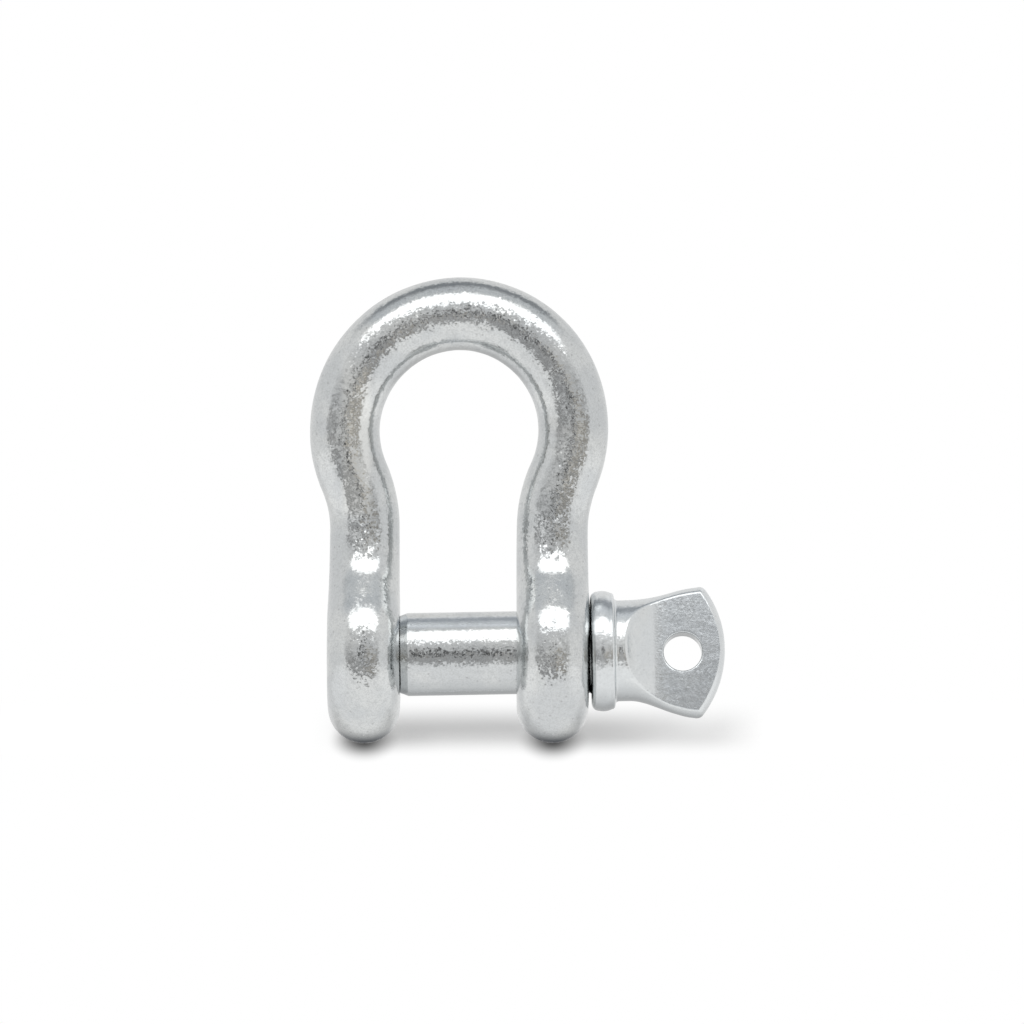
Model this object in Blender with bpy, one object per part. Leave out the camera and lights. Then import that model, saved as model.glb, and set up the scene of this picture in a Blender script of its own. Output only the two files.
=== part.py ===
"""Screw pin bow shackle, forged and zinc coated, in the size for 19 mm bar.

Two pieces: the bow, bent from round bar with an ear at each end, and the screw pin, whose head is
flattened into an eye. Both are built in one local frame with its origin in the middle of the jaw:
X runs along the pin, Y from the pin towards the crown, and Z out of the bow's plane.
The whole lies at rest on the edges of its two ears and on its crown.
"""
from math import acos, asin, atan2, cos, pi, radians, sin, sqrt, tan

import bmesh
import bpy
from mathutils import Vector

MM = 0.001

# Pin shank, and the holes that take it
PIN_RADIUS = 11.3 * MM
PIN_CLEARANCE = 0.8 * MM         # radial, in the clear hole
THREAD_STEP = 1.0 * MM           # thread's mean radius below the shank's
THREAD_CLEARANCE = 0.3 * MM      # radial, in the tapped hole
HOLE_EDGE = 0.5 * MM             # chamfer at the mouths of both holes

# Bow
JAW_WIDTH = 31.8 * MM
BAR_RADIUS = 9.5 * MM            # of the legs
CROWN_BAR_RADIUS = 9.9 * MM      # the bar is a little thicker over the crown
BOW_SWELL = 5.7 * MM             # crown's centreline outside the leg's, on each side
CROWN_RISE = 0.6 * MM            # crown's centreline above a true half circle
BEND_RADIUS = 36.0 * MM          # reverse bend between crown and leg
LEG_STRAIGHT = 2.1 * MM
FLARE_RADIUS = 16.0 * MM         # hollow where the leg starts to spread
FLARE_SLOPE = radians(39)        # of the straight taper from there to the ear's round
EAR_THICKNESS = 19.6 * MM
EAR_WALL = 11.9 * MM             # metal round the clear hole
EAR_LAND = 2.1 * MM              # flat ring between the clear hole and the round rim

# Threaded end of the pin
END_SETBACK = 0.4 * MM           # pin's end inside the ear's outer face
END_CHAMFER = 1.2 * MM
THREAD_LENGTH = 15.8 * MM
RELIEF_DEPTH = 0.7 * MM          # groove below the thread's mean radius
SHOULDER_REACH = 2.2 * MM        # full shank starts this far inside the jaw
SHOULDER_SLOPE = radians(21)

# Collar and neck
COLLAR_GAP = 0.6 * MM
COLLAR_THICKNESS = 6.3 * MM
COLLAR_STEP = 2.65 * MM          # collar's radius above the neck's
COLLAR_SEAT_EDGE = 2.2 * MM      # round on the side of the ear
COLLAR_HEAD_EDGE = 1.3 * MM      # round on the side of the head
NECK_STEP = 2.45 * MM            # neck's radius above the shank's
NECK_FILLET = 1.0 * MM
NECK_LENGTH = 2.4 * MM           # from the collar to where the head starts to widen

# Eye head
HEAD_FLARE = 3.9 * MM            # head's half width above the neck's radius
HEAD_THICKNESS = 10.0 * MM
HEAD_EDGE = 2.1 * MM             # width of the rounded edge, seen from the front
HEAD_END_EDGE = 1.4 * MM
HEAD_END_RADIUS = 29.0 * MM
HEAD_CORNER = 2.2 * MM
HEAD_SIDE_SLOPE = radians(9)     # of the sides where they meet the corners
HEAD_LEAN = radians(2)           # the end is forged a little out of square
HEAD_DROP = 0.5 * MM             # forged a little off the pin's axis, away from the crown
SCOOP_START = 3.0 * MM           # from the collar to the tip of the hollow beside the neck
SCOOP_RADIUS = 22.0 * MM         # of the hollow, down from the neck
SCOOP_SLOPE = radians(30)        # where the hollow meets the round at its foot
SCOOP_FOOT_RADIUS = 8.0 * MM     # round between the hollow and the flat face
EYE_FROM_COLLAR = 18.7 * MM
EYE_TO_END = 11.7 * MM
EYE_DROP = 1.1 * MM              # from the pin's axis, away from the crown
EYE_RADIUS = 5.2 * MM
EYE_EDGE = 0.5 * MM
HEAD_TURN = radians(8)           # head's face out of the bow's plane, towards the crown

# Fineness of the mesh
BAR_STEPS = 12                   # along each half of the bar's section
PIN_STEPS = 18                   # along each half of the pin's section
HOLE_STEPS = 48
ARC_STEP = radians(6.5)          # along the bow and round the ears
TAPER_STEPS = 3
EDGE_STEPS = 3
MERGE = 0.001 * MM
SHARP_ANGLE = radians(35)

# Radii that follow from the fits
clear_radius = PIN_RADIUS + PIN_CLEARANCE
thread_radius = PIN_RADIUS - THREAD_STEP
tapped_radius = thread_radius + THREAD_CLEARANCE
relief_radius = thread_radius - RELIEF_DEPTH
neck_radius = PIN_RADIUS + NECK_STEP
collar_radius = neck_radius + COLLAR_STEP

# Bow, worked out from the sizes above
ear_radius = clear_radius + EAR_WALL
rim_depth = EAR_WALL - EAR_LAND
ear_middle = JAW_WIDTH / 2 + EAR_THICKNESS / 2
ear_outside = JAW_WIDTH / 2 + EAR_THICKNESS
leg_middle = JAW_WIDTH / 2 + BAR_RADIUS
crown_radius = leg_middle + BOW_SWELL
crown_height = crown_radius + CROWN_RISE
bend_angle = acos(1 - BOW_SWELL / (crown_radius + BEND_RADIUS))
hollow_reach = BAR_RADIUS + FLARE_RADIUS * (1 - cos(FLARE_SLOPE))
taper_length = (ear_radius * cos(FLARE_SLOPE) - hollow_reach) / sin(FLARE_SLOPE)
hollow_height = ear_radius * sin(FLARE_SLOPE) + taper_length * cos(FLARE_SLOPE)
flare_height = hollow_height + FLARE_RADIUS * sin(FLARE_SLOPE)
bend_foot = flare_height + LEG_STRAIGHT
crown_centre = bend_foot + (crown_radius + BEND_RADIUS) * sin(bend_angle)
crown_top = crown_centre + crown_height
bow_side = max(ear_outside, crown_radius + BAR_RADIUS)

# Places along the pin
collar_seat = ear_outside + COLLAR_GAP
collar_end = collar_seat + COLLAR_THICKNESS
eye_middle = collar_end + EYE_FROM_COLLAR
head_end = eye_middle + EYE_TO_END

# The shackle at rest: the crown lies lower than the pin
lying_tilt = asin((ear_radius - CROWN_BAR_RADIUS) / crown_top)
lying_reach = crown_top * cos(lying_tilt) + CROWN_BAR_RADIUS


def ease(t):
    """Go from 0 to 1 with a level start and end."""
    return t * t * (3 - 2 * t)


def mix(low, high, t):
    return low + (high - low) * t


def steps_over(angle):
    """Number of equal steps that covers an arc."""
    return max(2, round(angle / ARC_STEP))


def clear_scene():
    for item in list(bpy.data.objects):
        bpy.data.objects.remove(item, do_unlink=True)


def zinc_material(name, colour, roughness):
    material = bpy.data.materials.new(name)
    material.use_nodes = True
    shader = material.node_tree.nodes["Principled BSDF"]
    shader.inputs["Base Color"].default_value = (*colour, 1)
    shader.inputs["Metallic"].default_value = 1.0
    shader.inputs["Roughness"].default_value = roughness
    return material


def add_object(name, builder, parent):
    """Turn a bmesh into an object with smooth faces and sharp creases."""
    bmesh.ops.remove_doubles(builder, verts=builder.verts, dist=MERGE)
    bmesh.ops.recalc_face_normals(builder, faces=builder.faces)
    mesh = bpy.data.meshes.new(name)
    builder.to_mesh(mesh)
    builder.free()
    mesh.shade_smooth()
    mesh.set_sharp_from_angle(angle=SHARP_ANGLE)
    item = bpy.data.objects.new(name, mesh)
    bpy.context.collection.objects.link(item)
    item.parent = parent
    return item


def skin(sections, closed_start=False):
    """Skin a row of sections. A section is two rows of points that face each other.

    Where the rows' ends meet, the section is one closed ring. Where they stand apart, the flat
    faces between them are filled across.
    """
    builder = bmesh.new()
    rings = []
    for near, far in sections:
        rings.append(([builder.verts.new(p) for p in near], [builder.verts.new(p) for p in far]))
    for (near_a, far_a), (near_b, far_b) in zip(rings, rings[1:]):
        for row_a, row_b in ((near_a, near_b), (far_a, far_b)):
            for j in range(len(row_a) - 1):
                builder.faces.new((row_a[j], row_a[j + 1], row_b[j + 1], row_b[j]))
        for end in (0, -1):
            builder.faces.new((near_a[end], far_a[end], far_b[end], near_b[end]))
    if closed_start:
        near, far = rings[0]
        builder.faces.new(near + far[::-1])
    return builder


def bar_section(centre, outward, radius):
    """Round section of the bar at a point of its centreline, front half and back half."""
    front = []
    back = []
    for j in range(BAR_STEPS + 1):
        turn = mix(-pi / 2, pi / 2, j / BAR_STEPS)
        side = outward * (radius * sin(turn))
        rise = Vector((0, 0, radius * cos(turn)))
        front.append(centre + side + rise)
        back.append(centre + side - rise)
    return front, back


def ear_section(outline, slope, share):
    """Section of the leg's foot or the ear at a point of its side outline.

    outline is (height, depth) on the rim and slope its normal's angle above the front. The half
    width and the rim's depth go from the bar's to the ear's as share goes from 0 to 1.
    """
    half_width = mix(BAR_RADIUS, EAR_THICKNESS / 2, share)
    depth = mix(BAR_RADIUS, rim_depth, share)
    height, reach = outline
    core_height = height - depth * sin(slope)
    core_reach = max(0.0, reach - depth * cos(slope))
    middle = JAW_WIDTH / 2 + half_width
    front = []
    back = []
    for j in range(BAR_STEPS + 1):
        turn = mix(-pi / 2, pi / 2, j / BAR_STEPS)
        x = middle + half_width * sin(turn)
        y = core_height + depth * cos(turn) * sin(slope)
        z = core_reach + depth * cos(turn) * cos(slope)
        front.append(Vector((x, y, z)))
        back.append(Vector((x, y, -z)))
    return front, back


def crown_sections():
    """From the top of the crown down to the reverse bend."""
    sections = []
    count = steps_over(pi / 2)
    for i in range(count + 1):
        t = pi / 2 * (1 - i / count)
        centre = Vector((crown_radius * cos(t), crown_centre + crown_height * sin(t), 0))
        outward = Vector((crown_height * cos(t), crown_radius * sin(t), 0)).normalized()
        radius = mix(BAR_RADIUS, CROWN_BAR_RADIUS, ease(sin(t)))
        sections.append(bar_section(centre, outward, radius))
    count = steps_over(bend_angle)
    for i in range(1, count + 1):
        t = -bend_angle * i / count
        outward = Vector((cos(t), sin(t), 0))
        centre = Vector((0, crown_centre, 0)) + outward * crown_radius
        sections.append(bar_section(centre, outward, BAR_RADIUS))
    return sections


def leg_sections():
    """Reverse bend and straight leg."""
    sections = []
    pivot = Vector((leg_middle + BEND_RADIUS, bend_foot, 0))
    count = steps_over(bend_angle)
    for i in range(1, count + 1):
        t = bend_angle * (1 - i / count)
        outward = Vector((cos(t), -sin(t), 0))
        sections.append(bar_section(pivot - outward * BEND_RADIUS, outward, BAR_RADIUS))
    sections.append(bar_section(Vector((leg_middle, flare_height, 0)), Vector((1, 0, 0)), BAR_RADIUS))
    return sections


def ear_sections():
    """Hollow flare and taper of the leg, and round the ear to its lowest point."""
    sections = []
    hollow_length = FLARE_RADIUS * FLARE_SLOPE
    flare_length = hollow_length + taper_length
    count = steps_over(FLARE_SLOPE)
    for i in range(1, count + 1):
        slope = FLARE_SLOPE * i / count
        height = flare_height - FLARE_RADIUS * sin(slope)
        reach = BAR_RADIUS + FLARE_RADIUS * (1 - cos(slope))
        share = ease(hollow_length / flare_length * i / count)
        sections.append(ear_section((height, reach), slope, share))
    for i in range(1, TAPER_STEPS + 1):
        run = taper_length * i / TAPER_STEPS
        outline = (hollow_height - run * cos(FLARE_SLOPE), hollow_reach + run * sin(FLARE_SLOPE))
        sections.append(ear_section(outline, FLARE_SLOPE, ease((hollow_length + run) / flare_length)))
    arc = FLARE_SLOPE + pi / 2
    count = steps_over(arc)
    for i in range(1, count + 1):
        slope = FLARE_SLOPE - arc * i / count
        outline = (ear_radius * sin(slope), ear_radius * cos(slope))
        sections.append(ear_section(outline, slope, 1.0))
    return sections


def mirrored(sections):
    def flip(row):
        return [Vector((-p.x, p.y, p.z)) for p in row]
    return [(flip(front), flip(back)) for front, back in sections]


def spool_cutter(name, radius, edge, length, parent):
    """Cutter for a round hole through a wall of this length, along its own Z, chamfered at both ends."""
    over = edge + EAR_LAND / 4
    outline = [
        (radius + over, -length / 2 - over + edge),
        (radius, -length / 2 + edge),
        (radius, length / 2 - edge),
        (radius + over, length / 2 + over - edge),
    ]
    builder = bmesh.new()
    rings = []
    for r, z in outline:
        turns = [2 * pi * k / HOLE_STEPS for k in range(HOLE_STEPS)]
        rings.append([builder.verts.new((r * cos(a), r * sin(a), z)) for a in turns])
    for low, high in zip(rings, rings[1:]):
        for k in range(HOLE_STEPS):
            n = (k + 1) % HOLE_STEPS
            builder.faces.new((low[k], low[n], high[n], high[k]))
    builder.faces.new(rings[0][::-1])
    builder.faces.new(rings[-1])
    cutter = add_object(name, builder, parent)
    cutter.hide_render = True
    cutter.display_type = "WIRE"
    return cutter


def cut(item, cutter):
    hole = item.modifiers.new(cutter.name, "BOOLEAN")
    hole.operation = "DIFFERENCE"
    hole.object = cutter
    hole.solver = "EXACT"


def build_bow(parent):
    right = crown_sections() + leg_sections() + ear_sections()
    left = mirrored(right)
    bow = add_object("bow", skin(left[:0:-1] + right), parent)
    bow.data.materials.append(zinc_material("zinc_bow", (0.70, 0.72, 0.74), 0.32))
    for name, radius, side in (("clear_hole", clear_radius, 1), ("tapped_hole", tapped_radius, -1)):
        cutter = spool_cutter(name, radius, HOLE_EDGE, EAR_THICKNESS, parent)
        cutter.location = (side * ear_middle, 0, 0)
        cutter.rotation_euler = (0, pi / 2, 0)
        cut(bow, cutter)
    return bow


def pin_section(x, half_width, half_depth, crease=0.0):
    """Section of the pin across X, as two halves. crease is the angle that a scoop takes off."""
    near = []
    far = []
    for j in range(PIN_STEPS + 1):
        t = mix(crease, pi - crease, j / PIN_STEPS)
        y = half_width * sin(t)
        z = half_depth * cos(t)
        near.append(Vector((x, y, z)))
        far.append(Vector((x, -y, z)))
    return near, far


def quarter(x, radius, size, start, turn):
    """Points of a quarter round in the turned outline, from angle start, as (x, radius)."""
    points = []
    for i in range(EDGE_STEPS + 1):
        a = start + turn * i / EDGE_STEPS
        points.append((x + size * cos(a), radius + size * sin(a)))
    return points


def turned_outline():
    """Outline of the turned part, from the threaded end to the neck, as (x, radius)."""
    tip = END_SETBACK - ear_outside
    thread_end = tip + THREAD_LENGTH
    shank_start = SHOULDER_REACH - JAW_WIDTH / 2
    cone_start = shank_start - (PIN_RADIUS - relief_radius) / tan(SHOULDER_SLOPE)
    outline = [
        (tip, thread_radius - END_CHAMFER),
        (tip + END_CHAMFER, thread_radius),
        (thread_end - RELIEF_DEPTH, thread_radius),
        (thread_end, relief_radius),
        (max(cone_start, thread_end), relief_radius),
        (shank_start, PIN_RADIUS),
        (0.0, PIN_RADIUS),
        (collar_seat, PIN_RADIUS),
    ]
    seat_edge = COLLAR_SEAT_EDGE
    outline += quarter(collar_seat + seat_edge, collar_radius - seat_edge, seat_edge, pi, -pi / 2)
    head_edge = COLLAR_HEAD_EDGE
    outline += quarter(collar_end - head_edge, collar_radius - head_edge, head_edge, pi / 2, -pi / 2)
    fillet = NECK_FILLET
    outline += quarter(collar_end + fillet, neck_radius + fillet, fillet, pi, pi / 2)
    return outline


def head_sections():
    """Neck, head and its rounded end. The front and back are hollowed from the neck to the eye."""
    half_width = neck_radius + HEAD_FLARE
    half_thickness = HEAD_THICKNESS / 2
    edge_share = HEAD_EDGE / half_width
    half_depth = half_thickness / sqrt(1 - (1 - edge_share) ** 2)
    flare_start = collar_end + NECK_LENGTH
    scoop_start = collar_end + SCOOP_START
    foot_run = SCOOP_FOOT_RADIUS * sin(SCOOP_SLOPE)
    foot_top = half_thickness + SCOOP_FOOT_RADIUS * (1 - cos(SCOOP_SLOPE))
    scoop_drop = neck_radius - foot_top
    steepest = acos(max(0.0, cos(SCOOP_SLOPE) - scoop_drop / SCOOP_RADIUS))
    flat_start = scoop_start + SCOOP_RADIUS * (sin(steepest) - sin(SCOOP_SLOPE)) + foot_run

    corner_y = half_width - HEAD_CORNER
    end_centre = head_end - HEAD_END_RADIUS
    corner_x = end_centre + sqrt((HEAD_END_RADIUS - HEAD_CORNER) ** 2 - corner_y ** 2)
    corner_turn = atan2(corner_y, corner_x - end_centre)
    side_x = corner_x - HEAD_CORNER * sin(HEAD_SIDE_SLOPE)
    side_y = corner_y + HEAD_CORNER * cos(HEAD_SIDE_SLOPE)

    def face_height(x):
        run = max(0.0, flat_start - x)
        if run <= foot_run:
            return half_thickness + SCOOP_FOOT_RADIUS - sqrt(SCOOP_FOOT_RADIUS ** 2 - run ** 2)
        if x <= scoop_start:
            return neck_radius
        slope = asin(sin(SCOOP_SLOPE) + (run - foot_run) / SCOOP_RADIUS)
        return foot_top + SCOOP_RADIUS * (cos(SCOOP_SLOPE) - cos(slope))

    def side_width(x):
        run = side_x - flare_start
        t = max(0.0, (x - flare_start) / run)
        return mix(neck_radius, side_y, ease(t)) + run * tan(HEAD_SIDE_SLOPE) * (t ** 3 - t ** 2)

    def depth(x):
        t = (x - flare_start) / (flat_start - flare_start)
        return mix(neck_radius, half_depth, ease(min(1.0, max(0.0, t))))

    def crease(x):
        return acos(min(1.0, face_height(x) / depth(x)))

    sections = []
    for x in (mix(collar_end + NECK_FILLET, flare_start, 0.5), flare_start, scoop_start):
        sections.append(pin_section(x, side_width(x), depth(x)))
    for i in range(1, PIN_STEPS + 1):
        x = mix(scoop_start, side_x, (i / PIN_STEPS) ** 2)
        sections.append(pin_section(x, side_width(x), depth(x), crease(x)))

    outline = []
    corner_arc = pi / 2 + HEAD_SIDE_SLOPE - corner_turn
    for i in range(1, EDGE_STEPS + 2):
        a = pi / 2 + HEAD_SIDE_SLOPE - corner_arc * i / (EDGE_STEPS + 1)
        outline.append((corner_x + HEAD_CORNER * cos(a), corner_y + HEAD_CORNER * sin(a), a))
    count = steps_over(corner_turn)
    for i in range(1, count + 1):
        a = corner_turn * (1 - i / count)
        outline.append((end_centre + HEAD_END_RADIUS * cos(a), HEAD_END_RADIUS * sin(a), a))

    end_crease = acos(half_thickness / half_depth)
    end_edge = HEAD_END_EDGE / edge_share
    for i, (x, y, a) in enumerate(outline, start=1):
        inset = mix(half_width, end_edge, i / len(outline))
        near = []
        far = []
        for j in range(PIN_STEPS + 1):
            t = mix(end_crease, pi - end_crease, j / PIN_STEPS)
            back = inset * (1 - sin(t))
            height = half_depth * cos(t)
            near.append(Vector((x - back * cos(a), y - back * sin(a), height)))
            far.append(Vector((x - back * cos(a), back * sin(a) - y, height)))
        sections.append((near, far))

    lean_run = side_x - flat_start
    for near, far in sections:
        for point in near + far:
            share = ease(min(1.0, max(0.0, (point.x - flat_start) / lean_run)))
            point.x += point.y * tan(HEAD_LEAN) * share
            drop_share = ease(min(1.0, max(0.0, (point.x - flare_start) / (flat_start - flare_start))))
            point.y -= HEAD_DROP * drop_share
    return sections


def build_pin(parent):
    turned = [pin_section(x, radius, radius) for x, radius in turned_outline()]
    pin = add_object("screw_pin", skin(turned + head_sections(), closed_start=True), parent)
    pin.rotation_euler = (-HEAD_TURN, 0, 0)
    pin.data.materials.append(zinc_material("zinc_pin", (0.72, 0.74, 0.75), 0.28))
    cutter = spool_cutter("eye_hole", EYE_RADIUS, EYE_EDGE, HEAD_THICKNESS, pin)
    cutter.location = (eye_middle, -EYE_DROP, 0)
    cut(pin, cutter)
    return pin


def lay_down():
    """Empty that carries both pieces, tilted as the shackle lies, with the floor at zero."""
    frame = bpy.data.objects.new("lying_frame", None)
    bpy.context.collection.objects.link(frame)
    frame.location = ((bow_side - head_end) / 2, (ear_radius - lying_reach) / 2, ear_radius)
    frame.rotation_euler = (-lying_tilt, 0, 0)
    return frame


def main():
    clear_scene()
    frame = lay_down()
    build_bow(frame)
    build_pin(frame)
    bpy.context.view_layer.update()


main()
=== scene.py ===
"""Looks of the screw pin bow shackle: two detailed pieces that stand for the two CAD nodes.

Both pieces are modelled in the shackle's own frame, with X along the pin, Y towards the crown and Z
out of the bow's plane, from the sizes of the CAD. The holes' lips, the collar, the neck and the eye
head have some finer sizes of their own. The pieces are then laid down as the CAD lies.
"""

from math import acos, asin, atan2, ceil, cos, pi, radians, sin, sqrt, tan

import bmesh
import bpy
import numpy as np
from mathutils import Matrix, Vector, noise


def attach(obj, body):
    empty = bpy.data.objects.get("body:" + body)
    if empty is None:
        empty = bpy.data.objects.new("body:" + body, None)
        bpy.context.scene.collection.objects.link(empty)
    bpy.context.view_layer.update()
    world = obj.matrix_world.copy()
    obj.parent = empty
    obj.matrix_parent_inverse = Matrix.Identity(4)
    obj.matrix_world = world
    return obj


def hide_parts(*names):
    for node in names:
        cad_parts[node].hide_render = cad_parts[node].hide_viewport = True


MM = 0.001

# Pin shank and holes
PIN_RADIUS = 11.3 * MM
PIN_CLEARANCE = 0.8 * MM
HOLE_LIP = 0.25 * MM
TAPPED_MOUTH = 10.6 * MM
MOUTH_TAPER = 1.4 * MM               # narrowing of a hole's mouth, over one pitch of the thread

# Bow
JAW_WIDTH = 31.8 * MM
BAR_RADIUS = 9.5 * MM
CROWN_BAR_RADIUS = 9.9 * MM
BOW_SWELL = 5.7 * MM
CROWN_RISE = 0.6 * MM
BEND_RADIUS = 36.0 * MM
LEG_STRAIGHT = 2.1 * MM
FLARE_RADIUS = 16.0 * MM
FLARE_SLOPE = radians(39)
EAR_THICKNESS = 19.6 * MM
EAR_WALL = 11.9 * MM
EAR_LAND = 2.1 * MM

# Thread, rolled with rounded crests
THREAD_PITCH = 2.82 * MM
PIN_CREST = 11.05 * MM
PIN_ROOT = 9.65 * MM
NUT_CREST = 9.95 * MM
NUT_ROOT = 11.35 * MM
THREAD_SHARPNESS = 1.5               # 0 would be a sine wave, a large value a step
THREAD_FADE = 1.6                    # the thread runs out over a pitch divided by this

# Threaded end, shank, collar and neck
END_SETBACK = 0.4 * MM
END_CHAMFER = 1.6 * MM
CHAMFER_SLOPE = 1.1
END_FACE_RINGS = (0.02, 0.35, 0.7, 1.0)
THREAD_LENGTH = 15.8 * MM
RELIEF_RADIUS = 9.6 * MM
SHOULDER_REACH = 2.2 * MM
SHOULDER_SLOPE = radians(21)
SHANK_EDGE_LENGTH = 0.2 * MM
SHANK_EDGE_DEPTH = 0.08 * MM
SEAT_FILLET = 0.3 * MM
COLLAR_GAP = 0.6 * MM
COLLAR_THICKNESS = 6.5 * MM
COLLAR_STEP = 2.65 * MM
COLLAR_SEAT_EDGE = 2.0 * MM
COLLAR_HEAD_EDGE = 1.0 * MM
COLLAR_CROWN_RADIUS = 5.0 * MM
NECK_STEP = 2.45 * MM
NECK_FILLET = 1.0 * MM
NECK_LENGTH = 3.9 * MM

# Eye head
HEAD_FLARE = 4.2 * MM
FLARE_HASTE = 1.07                   # the sides of the head are full before its corners
HEAD_THICKNESS = 10.0 * MM
HEAD_CROWNING = 1.6                  # drop of the faces, per square of the distance from the middle
HEAD_EDGE = 2.1 * MM
HEAD_END_EDGE = 1.4 * MM
HEAD_END_RADIUS = 29.0 * MM
HEAD_CORNER = 2.2 * MM
HEAD_SIDE_SLOPE = radians(9)
HEAD_LEAN = radians(2)
HEAD_DROP = 0.9 * MM
SCOOP_START = 2.8 * MM
SCOOP_RADIUS = 22.0 * MM
SCOOP_SLOPE = radians(30)
SCOOP_FOOT_RADIUS = 12.0 * MM
EYE_FROM_COLLAR = 18.5 * MM
EYE_TO_END = 11.55 * MM
EYE_DROP = 1.0 * MM
EYE_RADIUS = 5.2 * MM
EYE_LIP = 0.6 * MM
HEAD_TURN = radians(8)
CREASE_SOFTNESS = 0.06 * MM

# Fineness of the meshes
ALONG_STEP = 0.68 * MM
THREAD_STEP = 0.21 * MM
BAR_STEPS = 40
ACROSS_STEPS = 18
PIN_STEPS = 132
BORE_STEPS = 120
EDGE_STEPS = 6
CROWN_STEPS = 9
HEAD_STEP = 0.5 * MM
CORNER_STEP = 0.35 * MM
END_STEP = 0.55 * MM
EYE_STEP = 0.6 * MM
MERGE = 0.004 * MM
SHARP_ANGLE = radians(50)

# Camera, as it stood to the photographed shackle
PHOTO_SIZE = 1024
PHOTO_SCALE = 0.2724 * MM            # real size of one pixel at the pin's axis
ORIGIN_COLUMN = 458.2                # pixel of the middle of the jaw, on the pin's axis
ORIGIN_ROW = 655.1
CAMERA_RISE = radians(1)             # towards the crown, from square to the bow
CAMERA_ROLL = radians(-0.1)
CAMERA_DISTANCE = 2.4
SENSOR = 36.0
CLIP_START = 0.05

# Values that follow from the sizes
clear_radius = PIN_RADIUS + PIN_CLEARANCE
neck_radius = PIN_RADIUS + NECK_STEP
collar_radius = neck_radius + COLLAR_STEP
ear_radius = clear_radius + EAR_WALL
rim_depth = EAR_WALL - EAR_LAND
ear_middle = JAW_WIDTH / 2 + EAR_THICKNESS / 2
ear_outside = JAW_WIDTH / 2 + EAR_THICKNESS
leg_middle = JAW_WIDTH / 2 + BAR_RADIUS
crown_radius = leg_middle + BOW_SWELL
crown_height = crown_radius + CROWN_RISE
bend_angle = acos(1 - BOW_SWELL / (crown_radius + BEND_RADIUS))
hollow_reach = BAR_RADIUS + FLARE_RADIUS * (1 - cos(FLARE_SLOPE))
taper_length = (ear_radius * cos(FLARE_SLOPE) - hollow_reach) / sin(FLARE_SLOPE)
hollow_height = ear_radius * sin(FLARE_SLOPE) + taper_length * cos(FLARE_SLOPE)
flare_height = hollow_height + FLARE_RADIUS * sin(FLARE_SLOPE)
bend_foot = flare_height + LEG_STRAIGHT
crown_centre = bend_foot + (crown_radius + BEND_RADIUS) * sin(bend_angle)
crown_top = crown_centre + crown_height
bow_side = max(ear_outside, crown_radius + BAR_RADIUS)
collar_seat = ear_outside + COLLAR_GAP
collar_end = collar_seat + COLLAR_THICKNESS
eye_middle = collar_end + EYE_FROM_COLLAR
head_end = eye_middle + EYE_TO_END
pin_tip = END_SETBACK - ear_outside
lying_tilt = asin((ear_radius - CROWN_BAR_RADIUS) / crown_top)
lying_reach = crown_top * cos(lying_tilt) + CROWN_BAR_RADIUS
lying_place = Vector(((bow_side - head_end) / 2, (ear_radius - lying_reach) / 2, ear_radius))

# Values of the eye head
half_width = neck_radius + HEAD_FLARE
half_thickness = HEAD_THICKNESS / 2
edge_share = HEAD_EDGE / half_width
half_depth = half_thickness / sqrt(1 - (1 - edge_share) ** 2)
flare_start = collar_end + NECK_LENGTH
scoop_start = collar_end + SCOOP_START
foot_run = SCOOP_FOOT_RADIUS * sin(SCOOP_SLOPE)
foot_top = half_thickness + SCOOP_FOOT_RADIUS * (1 - cos(SCOOP_SLOPE))
steepest = acos(max(0.0, cos(SCOOP_SLOPE) - (neck_radius - foot_top) / SCOOP_RADIUS))
flat_start = scoop_start + SCOOP_RADIUS * (sin(steepest) - sin(SCOOP_SLOPE)) + foot_run
corner_y = half_width - HEAD_CORNER
end_centre = head_end - HEAD_END_RADIUS
corner_x = end_centre + sqrt((HEAD_END_RADIUS - HEAD_CORNER) ** 2 - corner_y ** 2)
corner_turn = atan2(corner_y, corner_x - end_centre)
side_x = corner_x - HEAD_CORNER * sin(HEAD_SIDE_SLOPE)
side_y = corner_y + HEAD_CORNER * cos(HEAD_SIDE_SLOPE)

# Place of the pieces
LYING = Matrix.Translation(lying_place) @ Matrix.Rotation(-lying_tilt, 4, "X")

# The loose pin lies a little aslant in the holes, and the bow leans a little towards the pin's head
PIN_SLANT = radians(0.92)
PIN_SAG = 0.03 * MM
BOW_LEAN = 0.0125
LEAN_START = 20 * MM
LEG_SWELL = 0.4 * MM                 # the right leg is a little thicker on its outer side
LEG_SWELL_ENDS = (2 * MM, 9 * MM, 40 * MM, 48 * MM)
LEG_SWELL_REACH = 1.5
pivot = Vector((-ear_middle, 0, 0))
slanted = Matrix.Translation(pivot) @ Matrix.Rotation(PIN_SLANT, 4, "Z") @ Matrix.Translation(-pivot)
PIN_PLACE = Matrix.Translation((0, -PIN_SAG, 0)) @ slanted @ Matrix.Rotation(-HEAD_TURN, 4, "X")


def ease(t):
    """Go from 0 to 1 with a level start and end."""
    t = np.clip(t, 0.0, 1.0)
    return t * t * (3 - 2 * t)


def mix(low, high, t):
    return low + (high - low) * t


def steps_for(length, step=ALONG_STEP):
    return max(2, ceil(length / step))


# Meshes

def tube(rings, caps=False):
    """Closed tube through rings of points, each with the same number of points."""
    count = len(rings[0])
    points = np.concatenate(rings)
    faces = []
    for i in range(len(rings) - 1):
        a = i * count
        b = a + count
        for k in range(count):
            n = (k + 1) % count
            faces.append((a + k, a + n, b + n, b + k))
    if caps:
        faces.append(tuple(range(count - 1, -1, -1)))
        faces.append(tuple(range(len(points) - count, len(points))))
    return points, faces


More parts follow.
